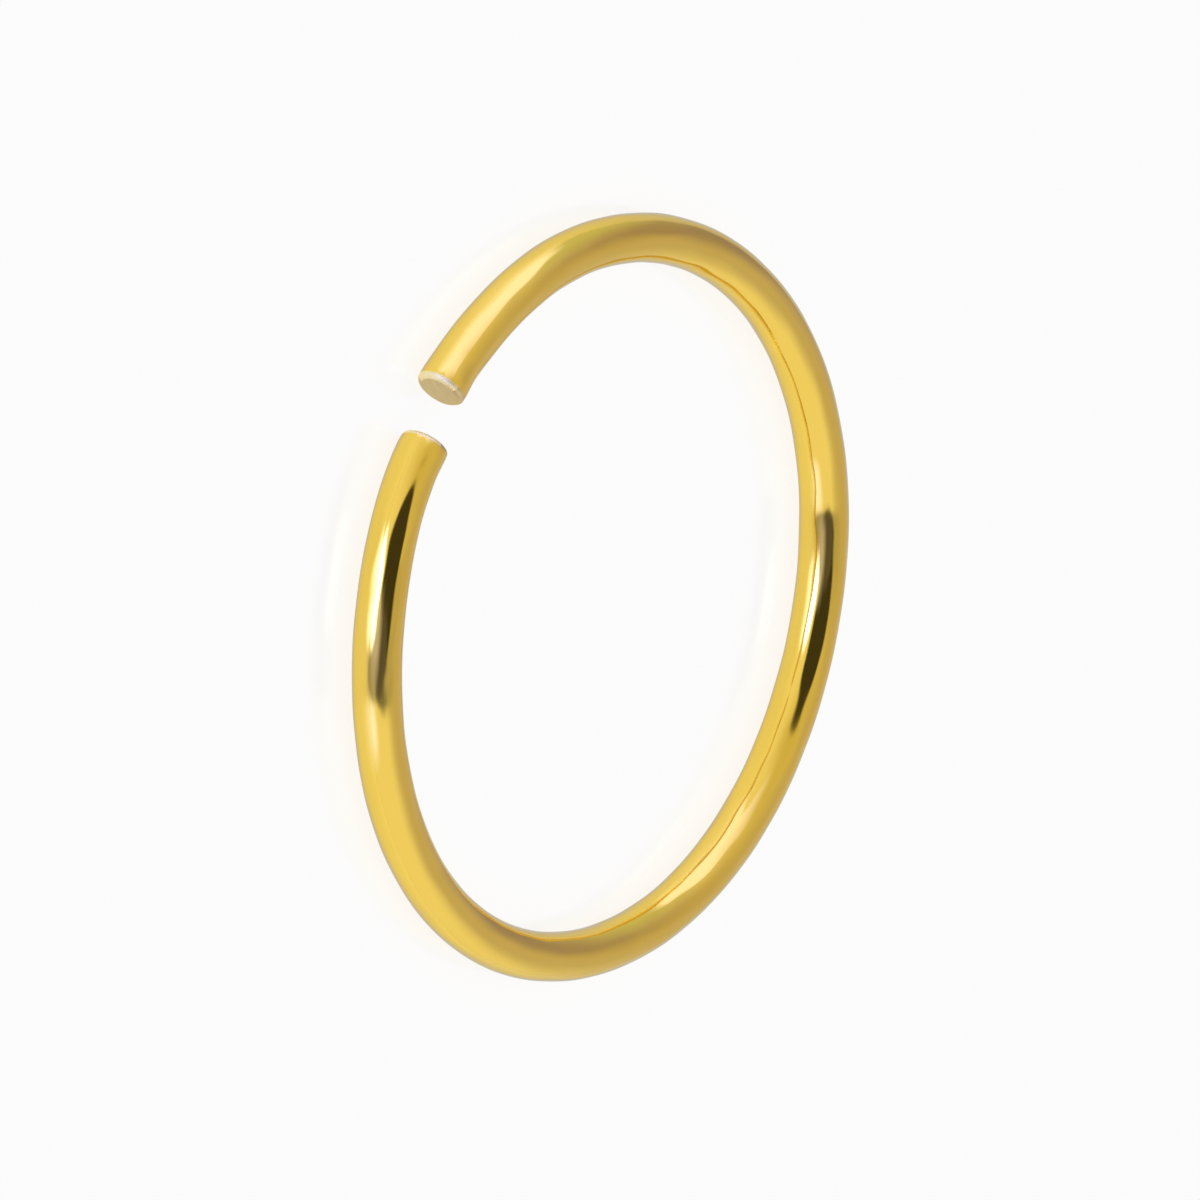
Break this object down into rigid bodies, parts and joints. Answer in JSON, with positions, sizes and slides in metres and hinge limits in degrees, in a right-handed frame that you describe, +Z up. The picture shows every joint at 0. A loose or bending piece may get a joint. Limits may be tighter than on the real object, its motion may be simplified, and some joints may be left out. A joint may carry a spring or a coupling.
{
  "type": "nose ring",
  "caption": "Plain open nose hoop of thin round gold wire, with a narrow gap between its snipped ends; it springs open to slip on.",
  "frame": {"origin": "centre of the hoop, on the surface that it lies on", "axes": "+Z up along the hoop's axis, -Y through the middle of the gap between the wire's ends, +X to the right of the gap seen from above with the gap towards the viewer"},
  "size_m": [0.0092, 0.0093, 0.0006],
  "materials": {
    "polished_gold": "mirror-polished yellow gold plating on round wire"
  },
  "bodies": {
    "root": {"hoop_wire": "polished_gold"}
  },
  "joints": []
}
